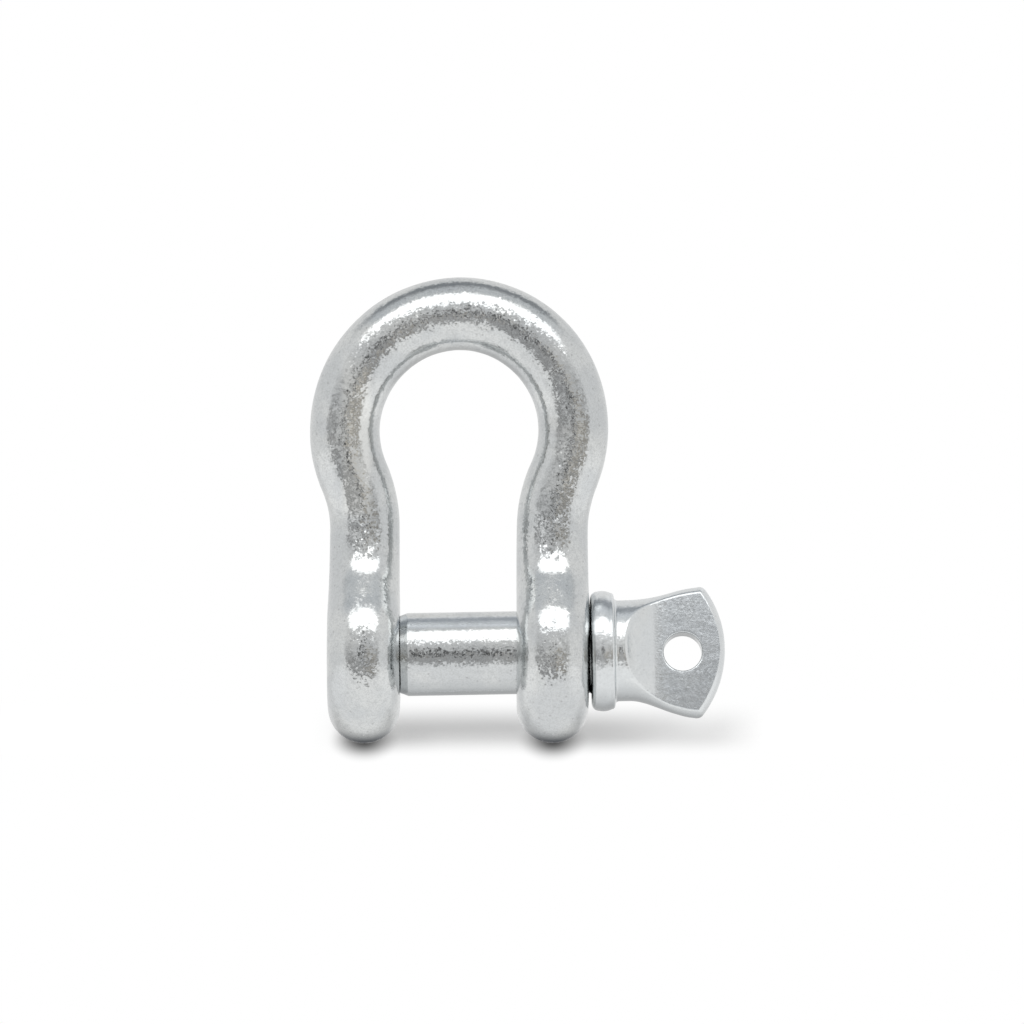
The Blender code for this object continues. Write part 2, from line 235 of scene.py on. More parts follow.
def mesh_object(name, points, faces):
    """Object with merged points and outward faces."""
    mesh = bpy.data.meshes.new(name)
    mesh.from_pydata(points.tolist(), [], faces)
    builder = bmesh.new()
    builder.from_mesh(mesh)
    bmesh.ops.remove_doubles(builder, verts=builder.verts, dist=MERGE)
    bmesh.ops.dissolve_degenerate(builder, edges=builder.edges, dist=MERGE / 2)
    bmesh.ops.recalc_face_normals(builder, faces=builder.faces)
    builder.to_mesh(mesh)
    builder.free()
    item = bpy.data.objects.new(name, mesh)
    bpy.context.scene.collection.objects.link(item)
    return item


def cut_away(item, cutters):
    """Take the cutters out of an object for good, and delete them."""
    for cutter in cutters:
        hole = item.modifiers.new(cutter.name, "BOOLEAN")
        hole.operation = "DIFFERENCE"
        hole.solver = "EXACT"
        hole.object = cutter
    bpy.context.view_layer.update()
    solid = item.evaluated_get(bpy.context.evaluated_depsgraph_get())
    mesh = bpy.data.meshes.new_from_object(solid)
    item.modifiers.clear()
    item.data = mesh
    mesh.materials.clear()
    for cutter in cutters:
        bpy.data.objects.remove(cutter)


def refined(outline, step):
    """Points along straight runs of an outline of (place, radius), no further apart than step."""
    points = [outline[0]]
    for (x0, r0), (x1, r1) in zip(outline, outline[1:]):
        count = max(1, ceil(sqrt((x1 - x0) ** 2 + (r1 - r0) ** 2) / step))
        points += [(mix(x0, x1, i / count), mix(r0, r1, i / count)) for i in range(1, count + 1)]
    return points


def quarter(x, radius, size, start, turn, steps=EDGE_STEPS):
    angles = [start + turn * i / steps for i in range(steps + 1)]
    return [(x + size * cos(a), radius + size * sin(a)) for a in angles]


def thread_radius(x, turn, root, crest):
    """Radius of a right-handed thread with rounded crests and roots."""
    phase = x / THREAD_PITCH - turn / (2 * pi)
    wave = np.sin(2 * pi * phase)
    shape = 0.5 + 0.5 * np.tanh(THREAD_SHARPNESS * wave) / np.tanh(THREAD_SHARPNESS)
    return mix(root, crest, shape)


def turned_ring(x, radius, turns):
    """Ring round the pin's axis. The radius may differ from turn to turn."""
    radius = np.broadcast_to(radius, turns.shape)
    return np.stack([np.full(turns.shape, x), radius * np.sin(turns), radius * np.cos(turns)], axis=1)


# Bow

def bar_ring(centre, outward, radius):
    """Ring round the bar at a point of its centreline."""
    turns = np.linspace(-pi / 2, pi / 2, BAR_STEPS + 1)[:, None]
    side = np.array(centre) + radius * np.sin(turns) * np.array(outward)
    rise = radius * np.cos(turns) * np.array([0.0, 0.0, 1.0])
    return closed_ring(side + rise, side - rise)


def closed_ring(front, back):
    """Ring of the front row, the outer flat, the back row and the inner flat."""
    shares = np.arange(1, ACROSS_STEPS)[:, None] / ACROSS_STEPS
    outer = mix(front[-1], back[-1], shares)
    inner = mix(back[0], front[0], shares)
    return np.concatenate([front, outer, back[::-1], inner])


def ear_ring(height, reach, slope, share):
    """Ring of the leg's foot or the ear at a point of its side outline, as in the CAD."""
    half_ear = mix(BAR_RADIUS, EAR_THICKNESS / 2, share)
    depth = mix(BAR_RADIUS, rim_depth, share)
    core_height = height - depth * sin(slope)
    core_reach = max(0.0, reach - depth * cos(slope))
    turns = np.linspace(-pi / 2, pi / 2, BAR_STEPS + 1)
    x = JAW_WIDTH / 2 + half_ear + half_ear * np.sin(turns)
    y = core_height + depth * np.cos(turns) * sin(slope)
    z = core_reach + depth * np.cos(turns) * cos(slope)
    return closed_ring(np.stack([x, y, z], axis=1), np.stack([x, y, -z], axis=1))


def crown_rings():
    """Rings from the top of the crown down to the bow's widest place."""
    rings = []
    count = steps_for(crown_height * pi / 2)
    for i in range(count + 1):
        t = pi / 2 * (1 - i / count)
        outward = Vector((crown_height * cos(t), crown_radius * sin(t), 0)).normalized()
        centre = (crown_radius * cos(t), crown_centre + crown_height * sin(t), 0)
        rings.append(bar_ring(centre, outward, mix(BAR_RADIUS, CROWN_BAR_RADIUS, ease(sin(t)))))
    return rings


def leg_rings():
    """Rings of one leg: its inward curve, its bend back and its straight foot."""
    rings = []
    count = steps_for(crown_radius * bend_angle)
    for i in range(1, count + 1):
        t = -bend_angle * i / count
        centre = (crown_radius * cos(t), crown_centre + crown_radius * sin(t), 0)
        rings.append(bar_ring(centre, (cos(t), sin(t), 0), BAR_RADIUS))
    bend_pivot = leg_middle + BEND_RADIUS
    count = steps_for(BEND_RADIUS * bend_angle)
    for i in range(1, count + 1):
        t = bend_angle * (1 - i / count)
        centre = (bend_pivot - BEND_RADIUS * cos(t), bend_foot + BEND_RADIUS * sin(t), 0)
        rings.append(bar_ring(centre, (cos(t), -sin(t), 0), BAR_RADIUS))
    count = steps_for(LEG_STRAIGHT)
    for i in range(1, count + 1):
        height = mix(bend_foot, flare_height, i / count)
        rings.append(bar_ring((leg_middle, height, 0), (1, 0, 0), BAR_RADIUS))
    return rings


def flare_rings():
    """Rings where the leg widens into the ear: a hollow curve and a straight taper."""
    rings = []
    flare_length = FLARE_RADIUS * FLARE_SLOPE + taper_length
    count = steps_for(FLARE_RADIUS * FLARE_SLOPE)
    for i in range(1, count + 1):
        slope = FLARE_SLOPE * i / count
        height = flare_height - FLARE_RADIUS * sin(slope)
        reach = BAR_RADIUS + FLARE_RADIUS * (1 - cos(slope))
        rings.append(ear_ring(height, reach, slope, ease(FLARE_RADIUS * slope / flare_length)))
    count = steps_for(taper_length)
    for i in range(1, count + 1):
        run = taper_length * (1 - i / count)
        height = ear_radius * sin(FLARE_SLOPE) + run * cos(FLARE_SLOPE)
        reach = ear_radius * cos(FLARE_SLOPE) - run * sin(FLARE_SLOPE)
        rings.append(ear_ring(height, reach, FLARE_SLOPE, ease(1 - run / flare_length)))
    return rings


def rim_rings():
    """Rings round the ear, down to its end."""
    arc = FLARE_SLOPE + pi / 2
    count = steps_for(ear_radius * arc)
    slopes = [FLARE_SLOPE - arc * i / count for i in range(1, count + 1)]
    return [ear_ring(ear_radius * sin(slope), ear_radius * cos(slope), slope, 1.0) for slope in slopes]


def bore_cutter(name, side, mouth_radius, radius_at):
    """Cutter for the bore of one ear, with rounded mouths. radius_at gives its radius at x, turns."""
    turns = np.linspace(0, 2 * pi, BORE_STEPS, endpoint=False)
    faces = sorted((side * JAW_WIDTH / 2, side * ear_outside))
    mouth = mouth_radius + HOLE_LIP
    lips = [HOLE_LIP * (1 - cos(pi / 2 * i / EDGE_STEPS)) for i in range(EDGE_STEPS)]
    rings = [turned_ring(faces[0] - EAR_LAND / 4, mouth, turns)]
    rows = steps_for(EAR_THICKNESS - 2 * HOLE_LIP, THREAD_STEP)
    inner = [mix(faces[0] + HOLE_LIP, faces[1] - HOLE_LIP, i / rows) for i in range(rows + 1)]
    places = [faces[0] + d for d in lips] + inner + [faces[1] - d for d in lips[::-1]]
    for x in places:
        depth = min(x - faces[0], faces[1] - x)
        run = max(0.0, HOLE_LIP - depth)
        flare = HOLE_LIP - sqrt(max(0.0, HOLE_LIP ** 2 - run ** 2))
        countersink = mouth_radius - MOUTH_TAPER * ease(depth / THREAD_PITCH)
        radius = np.maximum(radius_at(x, turns), countersink)
        rings.append(turned_ring(x, np.minimum(radius + flare, mouth), turns))
    rings.append(turned_ring(faces[1] + EAR_LAND / 4, mouth, turns))
    return mesh_object(name, *tube(rings, caps=True))


def plain_bore(x, turns):
    return np.full(turns.shape, clear_radius)


def tapped_bore(x, turns):
    return thread_radius(x, turns, NUT_CREST, NUT_ROOT)


def build_bow():
    """Bow with its slight lean and its thicker right leg, and both bores."""
    right = crown_rings() + leg_rings() + flare_rings() + rim_rings()
    left = [ring * np.array([-1.0, 1.0, 1.0]) for ring in right]
    points, faces = tube(left[:0:-1] + right)
    rise = np.maximum(0.0, points[:, 1] - LEAN_START)
    points[:, 0] += BOW_LEAN * rise ** 2 / (rise + LEAN_START)
    low_start, low_end, high_start, high_end = LEG_SWELL_ENDS
    for point in points:
        along = ease((point[1] - low_start) / (low_end - low_start))
        along *= ease((high_end - point[1]) / (high_end - high_start))
        point[0] += LEG_SWELL * along * ease((point[0] - ear_middle) / BAR_RADIUS * LEG_SWELL_REACH)
    bow = mesh_object("bow_forging", points, faces)
    clear = bore_cutter("clear_bore", 1, clear_radius, plain_bore)
    tapped = bore_cutter("tapped_bore", -1, TAPPED_MOUTH, tapped_bore)
    cut_away(bow, [clear, tapped])
    return bow


# Screw pin

def pin_outline():
    """Turned part behind the thread, from the relief to the neck, as (x, radius)."""
    thread_end = pin_tip + THREAD_LENGTH
    shank_start = SHOULDER_REACH - JAW_WIDTH / 2
    cone_start = shank_start - (PIN_RADIUS - RELIEF_RADIUS) / tan(SHOULDER_SLOPE)
    outline = [
        (thread_end, RELIEF_RADIUS),
        (max(cone_start, thread_end + ALONG_STEP / 2), RELIEF_RADIUS),
        (shank_start - SHANK_EDGE_LENGTH, PIN_RADIUS - SHANK_EDGE_DEPTH),
        (shank_start, PIN_RADIUS),
        (collar_seat - SEAT_FILLET, PIN_RADIUS),
        (collar_seat, PIN_RADIUS + SEAT_FILLET),
    ]
    seat = COLLAR_SEAT_EDGE
    edge = COLLAR_HEAD_EDGE
    middle = (collar_seat + collar_end) / 2
    crown_base = collar_radius - COLLAR_CROWN_RADIUS
    places = np.linspace(collar_seat + seat, collar_end - edge, CROWN_STEPS)
    crown = [(x, crown_base + sqrt(COLLAR_CROWN_RADIUS ** 2 - (x - middle) ** 2)) for x in places]
    outline += quarter(crown[0][0], crown[0][1] - seat, seat, pi, -pi / 2)[:-1]
    outline += crown
    outline += quarter(crown[-1][0], crown[-1][1] - edge, edge, pi / 2, -pi / 2)[1:]
    fillet = NECK_FILLET
    outline += quarter(collar_end + fillet, neck_radius + fillet, fillet, pi, pi / 2)
    return outline


def soft_limit(height, limit):
    """Height held under a limit, with the crease between them a little rounded."""
    low = np.minimum(height, limit)
    gap = np.abs(height - limit)
    return low - CREASE_SOFTNESS * np.log1p(np.exp(-gap / CREASE_SOFTNESS))


def thread_rings(turns):
    """End face, chamfer and thread of the pin."""
    end_radius = PIN_ROOT - END_CHAMFER / 2
    end = [turned_ring(pin_tip, end_radius * share, turns) for share in END_FACE_RINGS]
    rows = steps_for(THREAD_LENGTH, THREAD_STEP)
    rings = []
    for i in range(1, rows):
        x = mix(pin_tip, pin_tip + THREAD_LENGTH, i / rows)
        chamfer = end_radius + (x - pin_tip) * CHAMFER_SLOPE
        run_out = (pin_tip + THREAD_LENGTH - x) / THREAD_PITCH
        full = thread_radius(x, turns, PIN_ROOT, PIN_CREST)
        radius = np.minimum(mix(RELIEF_RADIUS, full, ease(run_out * THREAD_FADE)), chamfer)
        rings.append(turned_ring(x, radius, turns))
    return end + rings


def faced(height, limit):
    return np.sign(height) * soft_limit(np.abs(height), limit)


def face_height(x):
    """Height of the head's face: flat, and rising in a scoop towards the neck."""
    run = max(0.0, flat_start - x)
    if run <= foot_run:
        return half_thickness + SCOOP_FOOT_RADIUS - sqrt(SCOOP_FOOT_RADIUS ** 2 - run ** 2)
    steep = min(1.0, sin(SCOOP_SLOPE) + (run - foot_run) / SCOOP_RADIUS)
    return foot_top + SCOOP_RADIUS * (cos(SCOOP_SLOPE) - sqrt(1 - steep ** 2))


def head_body_rings(across, rise):
    """Rings from the neck to the head's corners."""
    rings = []
    neck_start = collar_end + NECK_FILLET
    flare_run = side_x - flare_start
    count = steps_for(side_x - neck_start, HEAD_STEP)
    for i in range(1, count + 1):
        x = mix(neck_start, side_x, i / count)
        t = max(0.0, (x - flare_start) / flare_run)
        slant = flare_run * tan(HEAD_SIDE_SLOPE) * (t ** 3 - t ** 2)
        width = mix(neck_radius, side_y, ease(t * FLARE_HASTE)) + slant
        flattened = ease((x - flare_start) / (flat_start - flare_start))
        depth = mix(neck_radius, half_depth, flattened)
        height = faced(depth * rise, face_height(x) - HEAD_CROWNING * (width * across) ** 2)
        rings.append(np.stack([np.full(across.shape, x), width * across, height], axis=1))
    return rings


def head_end_outline():
    """Outline of the head's end as (x, y, direction), from the corner to the middle."""
    outline = []
    corner_arc = pi / 2 + HEAD_SIDE_SLOPE - corner_turn
    count = steps_for(HEAD_CORNER * corner_arc, CORNER_STEP)
    for i in range(1, count + 1):
        a = pi / 2 + HEAD_SIDE_SLOPE - corner_arc * i / count
        outline.append((corner_x + HEAD_CORNER * cos(a), corner_y + HEAD_CORNER * sin(a), a))
    count = steps_for(HEAD_END_RADIUS * corner_turn, END_STEP)
    for i in range(1, count + 1):
        a = corner_turn * (1 - i / count)
        outline.append((end_centre + HEAD_END_RADIUS * cos(a), HEAD_END_RADIUS * sin(a), a))
    return outline


def head_end_rings(across, rise):
    """Rings over the head's rounded end."""
    rings = []
    outline = head_end_outline()
    end_rise = half_thickness / half_depth
    end_across = sqrt(1 - end_rise ** 2)
    on_edge = np.abs(rise) <= end_rise
    end_edge = HEAD_END_EDGE / edge_share
    for i, (x, y, a) in enumerate(outline, start=1):
        inset = mix(half_width, end_edge, i / len(outline))
        back = inset * (1 - np.where(on_edge, np.abs(across), end_across))
        share = np.where(on_edge, np.sign(across), across / end_across)
        place = x - back * cos(a)
        sideways = share * (y - back * sin(a))
        height = faced(half_depth * rise, half_thickness - HEAD_CROWNING * sideways ** 2)
        rings.append(np.stack([place, sideways, height], axis=1))
    return rings


def head_rings(turns):
    """Neck, head and its rounded end. The front and back are hollowed from the neck to the eye."""
    across = np.sin(turns)
    rise = np.cos(turns)
    rings = head_body_rings(across, rise) + head_end_rings(across, rise)
    lean_run = side_x - flat_start
    for ring in rings:
        ring[:, 0] += ring[:, 1] * tan(HEAD_LEAN) * ease((ring[:, 0] - flat_start) / lean_run)
        ring[:, 1] -= HEAD_DROP * ease((ring[:, 0] - flare_start) / (flat_start - flare_start))
    return rings


def eye_cutter():
    """Cutter for the eye, along Z, with rounded mouths."""
    turns = np.linspace(0, 2 * pi, BORE_STEPS, endpoint=False)
    half = HEAD_THICKNESS / 2
    mouth = [(half + EYE_LIP, EYE_RADIUS + EYE_LIP)]
    mouth += quarter(half - EYE_LIP, EYE_RADIUS + EYE_LIP, EYE_LIP, 0, -pi / 2)
    outline = refined(mouth[1:][::-1] + [mouth[0]], EYE_STEP)
    outline = [(-z, r) for z, r in outline[::-1]] + outline
    rings = [turned_ring(z, r, turns)[:, [1, 2, 0]] for z, r in refined(outline, EYE_STEP)]
    cutter = mesh_object("eye_bore", *tube(rings, caps=True))
    cutter.location = (eye_middle, -EYE_DROP, 0)
    return cutter


def build_pin():
    turns = np.linspace(0, 2 * pi, PIN_STEPS, endpoint=False)
    body = [turned_ring(x, radius, turns) for x, radius in refined(pin_outline(), ALONG_STEP)]
    rings = thread_rings(turns) + body + head_rings(turns)
    pin = mesh_object("screw_pin_forging", *tube(rings, caps=True))
    cut_away(pin, [eye_cutter()])
    return pin


# Surface of the forgings

UNEVENNESS = ((0.055, 9.0), (0.022, 3.1), (0.007, 1.3))     # height and size of each layer, in mm
OFFSET_PER_SEED = (1.0, 2.3, -1.7)
BORE_MARGIN = 1.2                    # the lips of the holes stay even too
SHANK_SHARE = 0.25
BOW_SEED = 11.0
PIN_SEED = 23.0


def roughen(item, amount_at, seed):
    """Move the points a little in and out, as forging and zinc leave the surface."""
    mesh = item.data
    offset = Vector([part * seed for part in OFFSET_PER_SEED])
    for vertex, normal in zip(mesh.vertices, [n.vector.copy() for n in mesh.vertex_normals]):
        amount = amount_at(vertex.co)
        if amount > 0:
            p = vertex.co / MM
            rise = 0.0
            for layer, (height, size) in enumerate(UNEVENNESS, start=1):
                rise += height * noise.noise(p / size + layer * offset)
            vertex.co += normal * (amount * MM * rise)
    mesh.update()


def bow_amount(p):
    """All of the roughening, but none in the bores."""
    from_axis = sqrt(p.y ** 2 + p.z ** 2)
    in_bore = from_axis < clear_radius + HOLE_LIP * BORE_MARGIN
    return 0.0 if in_bore else 1.0


def pin_amount(p):
    """None on the thread, a little on the turned shank, and all past the collar."""
    if p.x <= pin_tip + THREAD_LENGTH:
        return 0.0
    return float(mix(SHANK_SHARE, 1.0, ease((p.x - collar_seat) / COLLAR_THICKNESS)))


def shade(item):
    item.data.shade_smooth()
    item.data.set_sharp_from_angle(angle=SHARP_ANGLE)


# Tones of the zinc
PALE = (0.72, 0.735, 0.73, 1)
COOL = (0.64, 0.66, 0.667, 1)
WARM = (0.65, 0.635, 0.60, 1)
MOTTLED = (0.55, 0.565, 0.57, 1)
SPECKLED = (0.45, 0.46, 0.46, 1)
PITTED = (0.38, 0.38, 0.38, 1)
PATCHED = (0.90, 0.905, 0.875, 1)
# Painted shade at the ears' ends, in the base colour and in the specular tint
EAR_END_SHADE_TONE = (0.09, 0.105, 0.12, 1)
EAR_END_SHADE_EDGE_TONE = (0.12, 0.13, 0.15, 1)
WHITE = (1, 1, 1, 1)
PIN_PALE = (0.87, 0.90, 0.91, 1)
HEAD_MATTE = (0.62, 0.665, 0.71, 1)
# Painted light on the pin's top and painted shade on its underside
PIN_TOP_PAINTED_LIGHT_TONE = (0.93, 0.965, 1.0, 1)
PIN_UNDER_PAINTED_SHADE_TONE = (0.47, 0.49, 0.50, 1)

# Noises of the zinc, as (size, detail, roughness)
CLOUDS = (11 * MM, 3.0, 0.5)
WARM_CLOUDS = (19 * MM, 2.0, 0.5)
FACET_CLOUDS = (4.5 * MM, 2.0, 0.5)
MOTTLE = (1.4 * MM, 3.0, 0.65)
SPECKLE = (0.5 * MM, 2.0, 0.6)
RIPPLE = (2.6 * MM, 2.0, 0.5)
GRAIN = (0.9 * MM, 2.0, 0.5)
FINE_GRAIN = (0.4 * MM, 2.0, 0.5)
STROKES = (0.55 * MM, 2.0, 0.5)

# Where each noise comes in, as (low, high), and the shares or values that it goes between
CLOUD_RANGE = (0.36, 0.6)
WARM_RANGE = (0.6, 0.75, 0.0, 0.5)
MOTTLE_RANGE = (0.48, 0.7, 0.0, 0.5)
SPECKLE_RANGE = (0.42, 0.66, 0.0, 0.3)
ROUGH_RANGE = (0.3, 0.7)
FACET_RANGE = (0.35, 0.62, 0.45, 1.25)
RUBBED_RANGE = (0.85, 0.965, 0.3, 1.0)               # by how squarely the surface faces up or down

# Pits
PIT_SPACING = 1.5 * MM
PIT_EDGE = (0.30, 0.12)
PIT_CHOICE = (0.6, 0.9)
PIT_TONE_SHARE = 0.5
PIT_DEPTH = 0.2

# Grain and facets
GRAIN_SHARE = 0.6
FACETS = ((0.55 * MM, 1.0), (1.1 * MM, 0.6))         # size of a facet, and share of the tilt
HAMMERED = (-12 * MM, -8 * MM, -1 * MM, 4 * MM)      # coarser stretch of the legs, above the ears

# Painted shade at the ears' ends, darker towards their tips, and a paler patch
EAR_END_SHADE_HEIGHTS = (-56.3 * MM, -63.6 * MM)
PATCH_ALONG = (-48.5 * MM, -46 * MM, -41 * MM, -38.5 * MM)   # on the left leg's inner side
PATCH_UP = (-2 * MM, 4 * MM, 36 * MM, 46 * MM)
PATCH_SHARE = 0.6

# The pin: paler past its collar's seat, matte on the head's flat faces
SEAT_RUN = 1 * MM
PALE_SHARE = 0.45
MATTE_RUN = 5 * MM
MATTE_FACING = (0.86, 0.99)
MATTE_SHARE = 0.5
# Painted shade on the flat head: paler at its upper side, darker at its lower side
HEAD_SHADE = (-51 * MM, -36 * MM, 0.0, 0.14)         # the flat head is darker at its lower side
# Painted light on the pin's upward side and painted shade on its downward side, by which way the normal
# points
PIN_TOP_PAINTED_LIGHT = (0.62, 0.74, 0.84, 0.93)                   # share of the upward normal on the pale top
PIN_TOP_PAINTED_LIGHT_SHARES = (0.4, 1.0)
PIN_UNDER_PAINTED_SHADE = (0.50, 0.90)                             # and of the downward one on the darker underside
PIN_UNDER_PAINTED_SHADE_SHARE = 0.8
TOP_ROUGH = 0.06
MATTE_ROUGH = 0.14
PALE_ROUGH = 0.12

# Short strokes at the foot of the scoop
STROKE_STRETCH = (0.45, 1.0, 1.0)
STROKE_REACH = (3 * MM, 5.5 * MM, 8 * MM, 12 * MM)
STROKE_FACING = (0.80, 0.92)
STROKE_SHARE = 1.5
FINE_SHARE = 0.5


class Nodes:
    """Short calls that add linked shader nodes to a tree."""

    def __init__(self, tree):
        self.tree = tree

    def add(self, kind, inputs=(), **settings):
        node = self.tree.nodes.new(kind)
        for name, value in settings.items():
            setattr(node, name, value)
        for key, value in dict(inputs).items():
            self.plug(node.inputs[key], value)
        return node

    def plug(self, socket, value):
        if isinstance(value, bpy.types.NodeSocket):
            self.tree.links.new(value, socket)
        else:
            socket.default_value = value

    def math(self, operation, a, b=0.0):
        return self.add("ShaderNodeMath", {0: a, 1: b}, operation=operation).outputs[0]

    def times(self, *values):
        product = values[0]
        for value in values[1:]:
            product = self.math("MULTIPLY", product, value)
        return product

    def plus(self, a, b):
        return self.math("ADD", a, b)

    def over(self, a, b):
        return self.math("DIVIDE", a, b)

    def size_of(self, value):
        return self.math("ABSOLUTE", value)

    def vector(self, operation, a, b=(0.0, 0.0, 0.0)):
        return self.add("ShaderNodeVectorMath", {0: a, 1: b}, operation=operation).outputs[0]

    def dot(self, vector, direction):
        inputs = {0: vector, 1: tuple(direction)}
        return self.add("ShaderNodeVectorMath", inputs, operation="DOT_PRODUCT").outputs["Value"]

    def rise(self, value, low, high, out_low=0.0, out_high=1.0):
        """Smooth step from out_low to out_high as value goes from low to high."""
        node = self.add(
            "ShaderNodeMapRange",
            {"Value": value, "From Min": low, "From Max": high, "To Min": out_low, "To Max": out_high},
            interpolation_type="SMOOTHSTEP",
        )
        return node.outputs["Result"]

    def band(self, value, ends):
        """1 between the inner two of four ends, 0 outside of the outer two."""
        start, full, last, end = ends
        return self.times(self.rise(value, start, full), self.rise(value, end, last))

    def blend(self, share, a, b):
        node = self.add("ShaderNodeMix", {0: share, 6: a, 7: b}, data_type="RGBA")
        return node.outputs[2]

    def noise(self, vector, size, detail, roughness):
        inputs = {"Vector": vector, "Scale": 1 / size, "Detail": detail, "Roughness": roughness}
        return self.add("ShaderNodeTexNoise", inputs).outputs["Fac"]

    def cells(self, vector, size):
        return self.add("ShaderNodeTexVoronoi", {"Vector": vector, "Scale": 1 / size})


class Zinc(Nodes):
    """Bright zinc over forged steel, and the coordinates that its nodes share."""

    def __init__(self, tree):
        super().__init__(tree)
        coordinates = self.add("ShaderNodeTexCoord")
        normal = coordinates.outputs["Normal"]
        self.place = coordinates.outputs["Object"]
        self.along = self.dot(self.place, (1, 0, 0))
        self.height = self.dot(self.place, (0, 1, 0))
        self.upward = self.dot(normal, LYING.col[1][:3])
        self.facing = self.size_of(self.dot(normal, LYING.col[2][:3]))
        self.rubbed = self.rise(self.facing, *RUBBED_RANGE)
        self.mottle = self.noise(self.place, *MOTTLE)
        # Mask of the painted shade at the ears' ends
        self.ear_end_shade = self.rise(self.height, *EAR_END_SHADE_HEIGHTS)
        pits = self.cells(self.place, PIT_SPACING)
        picked = self.add("ShaderNodeSeparateColor", {0: pits.outputs["Color"]}).outputs[0]
        edge = self.rise(pits.outputs["Distance"], *PIT_EDGE)
        self.pit = self.times(edge, self.rise(picked, *PIT_CHOICE))

    def tone(self):
        """Cloudy tone with speckles and pits, a paler patch, and painted shade darkening the ends of the
        ears.
        """
        warm_clouds = self.noise(self.place, *WARM_CLOUDS)
        speckle = self.noise(self.place, *SPECKLE)
        tone = self.blend(self.rise(self.noise(self.place, *CLOUDS), *CLOUD_RANGE), PALE, COOL)
        tone = self.blend(self.rise(warm_clouds, *WARM_RANGE), tone, WARM)
        tone = self.blend(self.rise(self.mottle, *MOTTLE_RANGE), tone, MOTTLED)
        tone = self.blend(self.rise(speckle, *SPECKLE_RANGE), tone, SPECKLED)
        tone = self.blend(self.times(self.pit, PIT_TONE_SHARE), tone, PITTED)
        patch = self.times(self.band(self.along, PATCH_ALONG), self.band(self.height, PATCH_UP))
        tone = self.blend(self.times(patch, PATCH_SHARE), tone, PATCHED)
        return self.blend(self.ear_end_shade, tone, EAR_END_SHADE_TONE)

    def edge_tone(self):
        # Specular tint: white, with painted shade at the ears' ends
        return self.blend(self.ear_end_shade, WHITE, EAR_END_SHADE_EDGE_TONE)

    def normal(self, height, grain_depth, facet_tilt):
        """Bump of the grain, and facets on it. Both are strongest where the surface faces up or down."""
        inputs = {"Height": height, "Strength": self.rubbed, "Distance": grain_depth}
        normal = self.add("ShaderNodeBump", inputs).outputs["Normal"]
        even = self.rise(self.noise(self.place, *FACET_CLOUDS), *FACET_RANGE)
        coarser = self.plus(self.band(self.height, HAMMERED), 1.0)
        amount = self.times(self.rubbed, even, facet_tilt, coarser)
        for size, weight in FACETS:
            facets = self.cells(self.place, size).outputs["Color"]
            tilt = self.vector("SUBTRACT", facets, (0.5, 0.5, 0.5))
            inputs = {0: tilt, "Scale": self.times(amount, weight)}
            tilt = self.add("ShaderNodeVectorMath", inputs, operation="SCALE").outputs[0]
            normal = self.vector("ADD", normal, tilt)
        return self.vector("NORMALIZE", normal)

    def relief(self):
        """Height of the grain, the ripples and the pits."""
        grain = self.times(self.noise(self.place, *GRAIN), GRAIN_SHARE)
        height = self.plus(grain, self.noise(self.place, *RIPPLE))
        return self.math("SUBTRACT", height, self.times(self.pit, PIT_DEPTH))


class PinZinc:
    """What the pin's zinc has of its own: paler from its collar on, with a matte head and strokes."""

    def __init__(self, zinc, seat_at):
        self.zinc = zinc
        self.head_at = seat_at + COLLAR_THICKNESS + SCOOP_START
        self.pale = zinc.rise(zinc.along, seat_at, seat_at + SEAT_RUN, 0.0, PALE_SHARE)
        flat = zinc.rise(zinc.along, self.head_at, self.head_at + MATTE_RUN)
        self.matte = zinc.times(flat, zinc.rise(zinc.facing, *MATTE_FACING))
        # Painted light on the pin's upward side, in full on the shank and less from the collar's seat on
        top = zinc.rise(zinc.along, seat_at + SEAT_RUN, seat_at, *PIN_TOP_PAINTED_LIGHT_SHARES)
        self.top = zinc.times(zinc.band(zinc.upward, PIN_TOP_PAINTED_LIGHT), top)

    def tone(self, tone):
        """The given tone, made paler on collar and head, with painted light on the top and on the head's
        upper flat, and painted shade on the underside.
        """
        zinc = self.zinc
        flat_share = zinc.rise(zinc.height, *HEAD_SHADE)
        shares = {0: self.matte, 2: self.pale, 3: flat_share}
        tone = zinc.blend(zinc.add("ShaderNodeMix", shares).outputs[0], tone, PIN_PALE)
        tone = zinc.blend(zinc.times(self.matte, MATTE_SHARE), tone, HEAD_MATTE)
        tone = zinc.blend(self.top, tone, PIN_TOP_PAINTED_LIGHT_TONE)
        # Painted shade on the pin's downward side
        under = zinc.rise(zinc.times(zinc.upward, -1.0), *PIN_UNDER_PAINTED_SHADE)
        return zinc.blend(zinc.times(under, PIN_UNDER_PAINTED_SHADE_SHARE), tone, PIN_UNDER_PAINTED_SHADE_TONE)

    def rough(self, rough):
        zinc = self.zinc
        for share, more in ((self.top, TOP_ROUGH), (self.matte, MATTE_ROUGH), (self.pale, PALE_ROUGH)):
            rough = zinc.plus(rough, zinc.times(share, more))
        return rough

    def strokes(self):
        """Height of the short strokes at the scoop's foot, and of the matte faces' fine grain."""
        zinc = self.zinc
        drawn = zinc.vector("MULTIPLY", zinc.place, STROKE_STRETCH)
        where = zinc.band(zinc.along, [self.head_at + reach for reach in STROKE_REACH])
        where = zinc.times(where, zinc.rise(zinc.facing, *STROKE_FACING))
        strokes = zinc.times(zinc.noise(drawn, *STROKES), where, STROKE_SHARE)
        fine = zinc.times(zinc.noise(zinc.place, *FINE_GRAIN), self.matte)
        return zinc.plus(strokes, zinc.times(fine, FINE_SHARE))


